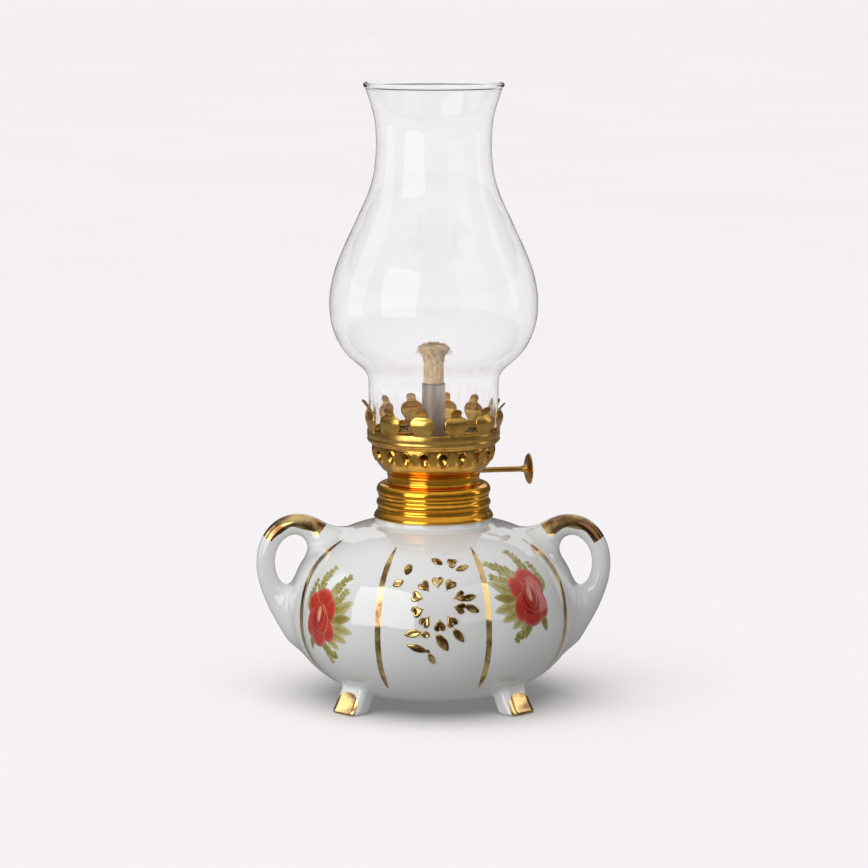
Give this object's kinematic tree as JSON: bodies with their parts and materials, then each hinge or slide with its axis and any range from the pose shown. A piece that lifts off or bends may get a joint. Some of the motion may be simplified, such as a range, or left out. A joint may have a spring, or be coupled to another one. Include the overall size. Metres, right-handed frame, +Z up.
{
  "type": "oil lamp",
  "caption": "Small porcelain oil lamp: lobed font with loop handles and short feet, screw-in brass burner with a pronged gallery and wick raiser, and a bulged glass chimney.",
  "frame": {"origin": "on the lamp's axis, in the plane the feet stand on", "axes": "+Z up, front towards -Y, handles on -X and +X"},
  "size_m": [0.1038, 0.0848, 0.18],
  "materials": {
    "porcelain": "glossy white glaze with transfer flowers and gilt lines",
    "brass": "bright spun and pressed sheet",
    "brass_fittings": "plain wire and stamped disc",
    "steel": "drawn tube",
    "cotton": "braided, frayed at the top",
    "plaster": "cast in place",
    "gasket": "matte",
    "glass": "clear blown glass"
  },
  "bodies": {
    "font": {"font_shell": "porcelain", "left_handle": "porcelain", "right_handle": "porcelain", "foot_front_left": "porcelain", "foot_front_right": "porcelain", "foot_back_left": "porcelain", "foot_back_right": "porcelain", "screw_collar": "brass", "collar_cement": "plaster"},
    "seal": {"seal_ring": "gasket"},
    "burner": {"threaded_sleeve": "brass", "burner_neck": "brass", "base_plate": "brass", "air_bowl": "brass", "draught_plate": "brass", "crown_gallery": "brass", "wick_tube": "steel", "wheel_bracket": "steel", "spindle_bush": "brass_fittings"},
    "spindle": {"spindle": "brass_fittings", "knob": "brass_fittings", "wick_wheel": "brass_fittings"},
    "wick": {"wick": "cotton"},
    "chimney": {"chimney": "glass"}
  },
  "joints": [
    {"name": "burner_rise", "type": "slide", "parent": "font", "child": "seal", "axis": [0, 0, 1], "range_m": [0, 0.0076]},
    {"name": "burner_turn", "type": "hinge", "parent": "seal", "child": "burner", "pos_m": [0, 0, 0.0616], "axis": [0, 0, 1], "range_deg": [0, 1080]},
    {"name": "knob_turn", "type": "hinge", "parent": "burner", "child": "spindle", "pos_m": [-0.00121, 0.00567, 0.0658], "axis": [0.9781, 0.2079, 0], "range_deg": [-200, 90]},
    {"name": "wick_feed", "type": "slide", "parent": "burner", "child": "wick", "axis": [0, 0, 1], "range_m": [-0.0043, 0.0097]},
    {"name": "chimney_lift", "type": "slide", "parent": "burner", "child": "chimney", "axis": [0, 0, 1], "range_m": [0, 0.05]}
  ],
  "couplings": [
    {"joint": "burner_rise", "follows": "burner_turn", "m_per_rad": 0.00039789},
    {"joint": "knob_turn", "follows": "wick_feed", "rad_per_m": -357.14}
  ]
}
